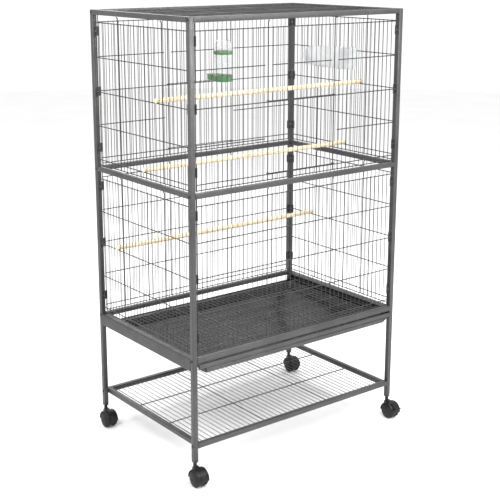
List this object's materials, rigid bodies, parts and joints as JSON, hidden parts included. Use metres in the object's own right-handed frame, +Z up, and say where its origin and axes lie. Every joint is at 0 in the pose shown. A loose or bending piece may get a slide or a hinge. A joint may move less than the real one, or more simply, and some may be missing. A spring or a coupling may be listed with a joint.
{
  "type": "bird cage on stand",
  "caption": "Two-tier flight cage of square tube and welded wire on a rolling stand, with slide-up doors, a pull-out tray and grate, perches, a seed feeder and a bath",
  "frame": {"origin": "on the floor, under the middle of the whole object's bounding box", "axes": "+X along the front towards the right side, +Y from the front to the back, +Z up"},
  "size_m": [0.809, 0.5658, 1.315],
  "materials": {
    "frame_paint": "powder coated, slightly hammered, satin",
    "apron_paint": "powder coated sheet, satin",
    "wire_paint": "powder coated wire, satin",
    "tray_plastic": "moulded, matte",
    "perch_wood": "bare sanded softwood",
    "feeder_green": "moulded, translucent, glossy",
    "feeder_clear": "clear plastic, glossy",
    "bath_plastic": "frosted translucent plastic",
    "plug_plastic": "moulded, matte, in the frame's grey",
    "caster_plastic": "moulded, satin black",
    "caster_wheel": "hard nylon, satin black"
  },
  "bodies": {
    "cage": {"post_front_left": "frame_paint", "post_front_right": "frame_paint", "post_back_left": "frame_paint", "post_back_right": "frame_paint", "top_rail_front": "frame_paint", "top_rail_back": "frame_paint", "top_rail_left": "frame_paint", "top_rail_right": "frame_paint", "mid_rail_front": "frame_paint", "mid_rail_back": "frame_paint", "mid_rail_left": "frame_paint", "mid_rail_right": "frame_paint", "shelf_rail_front": "frame_paint", "shelf_rail_back": "frame_paint", "shelf_rail_left": "frame_paint", "shelf_rail_right": "frame_paint", "floor_rail_front": "frame_paint", "floor_rail_back": "frame_paint", "apron_left": "apron_paint", "apron_right": "apron_paint", "upper_wall_front": "wire_paint", "upper_wall_back": "wire_paint", "upper_wall_left": "wire_paint", "upper_wall_right": "wire_paint", "lower_wall_front": "wire_paint", "lower_wall_back": "wire_paint", "lower_wall_left": "wire_paint", "lower_wall_right": "wire_paint", "roof_mat": "wire_paint", "shelf_mat": "wire_paint", "perch_upper": "perch_wood", "perch_middle": "perch_wood", "perch_lower": "perch_wood", "feeder_base": "feeder_green", "feeder_band": "feeder_green", "feeder_bottle": "feeder_clear", "bath_trough": "bath_plastic", "foot_plug_front_left": "plug_plastic", "foot_plug_front_right": "plug_plastic", "foot_plug_back_left": "plug_plastic", "foot_plug_back_right": "plug_plastic"},
    "door_front": {"door_front": "wire_paint"},
    "door_back": {"door_back": "wire_paint"},
    "tray": {"tray": "tray_plastic", "tray_front": "frame_paint"},
    "grate": {"grate": "wire_paint"},
    "caster_front_left": {"caster_hood_front_left": "caster_plastic"},
    "wheels_front_left": {"caster_wheels_front_left": "caster_wheel"},
    "caster_front_right": {"caster_hood_front_right": "caster_plastic"},
    "wheels_front_right": {"caster_wheels_front_right": "caster_wheel"},
    "caster_back_left": {"caster_hood_back_left": "caster_plastic"},
    "wheels_back_left": {"caster_wheels_back_left": "caster_wheel"},
    "caster_back_right": {"caster_hood_back_right": "caster_plastic"},
    "wheels_back_right": {"caster_wheels_back_right": "caster_wheel"},
    "brake_lever": {"brake_lever_front_right": "caster_plastic"}
  },
  "joints": [
    {"name": "door_front_lift", "type": "slide", "parent": "cage", "child": "door_front", "axis": [0, 0, 1], "range_m": [0, 0.196]},
    {"name": "door_back_lift", "type": "slide", "parent": "cage", "child": "door_back", "axis": [0, 0, 1], "range_m": [0, 0.196]},
    {"name": "tray_pull", "type": "slide", "parent": "cage", "child": "tray", "axis": [0, -1, 0], "range_m": [0, 0.42]},
    {"name": "grate_pull", "type": "slide", "parent": "cage", "child": "grate", "axis": [0, -1, 0], "range_m": [0, 0.42]},
    {"name": "caster_swivel_front_left", "type": "hinge", "parent": "cage", "child": "caster_front_left", "pos_m": [-0.3825, -0.22757, 0.064], "axis": [0, 0, 1], "continuous": true},
    {"name": "wheels_roll_front_left", "type": "hinge", "parent": "caster_front_left", "child": "wheels_front_left", "pos_m": [-0.3825, -0.24557, 0.025], "axis": [1, 0, 0], "continuous": true},
    {"name": "caster_swivel_front_right", "type": "hinge", "parent": "cage", "child": "caster_front_right", "pos_m": [0.3825, -0.22757, 0.064], "axis": [0, 0, 1], "continuous": true},
    {"name": "wheels_roll_front_right", "type": "hinge", "parent": "caster_front_right", "child": "wheels_front_right", "pos_m": [0.3825, -0.24557, 0.025], "axis": [1, 0, 0], "continuous": true},
    {"name": "caster_swivel_back_left", "type": "hinge", "parent": "cage", "child": "caster_back_left", "pos_m": [-0.3825, 0.27243, 0.064], "axis": [0, 0, 1], "continuous": true},
    {"name": "wheels_roll_back_left", "type": "hinge", "parent": "caster_back_left", "child": "wheels_back_left", "pos_m": [-0.3825, 0.25443, 0.025], "axis": [1, 0, 0], "continuous": true},
    {"name": "caster_swivel_back_right", "type": "hinge", "parent": "cage", "child": "caster_back_right", "pos_m": [0.3825, 0.27243, 0.064], "axis": [0, 0, 1], "continuous": true},
    {"name": "wheels_roll_back_right", "type": "hinge", "parent": "caster_back_right", "child": "wheels_back_right", "pos_m": [0.3825, 0.25443, 0.025], "axis": [1, 0, 0], "continuous": true},
    {"name": "brake_lever_tilt", "type": "hinge", "parent": "caster_front_right", "child": "brake_lever", "pos_m": [0.3825, -0.262, 0.05129], "axis": [-1, 0, 0], "range_deg": [0, 14], "stiffness_Nm_per_rad": 0.05}
  ]
}
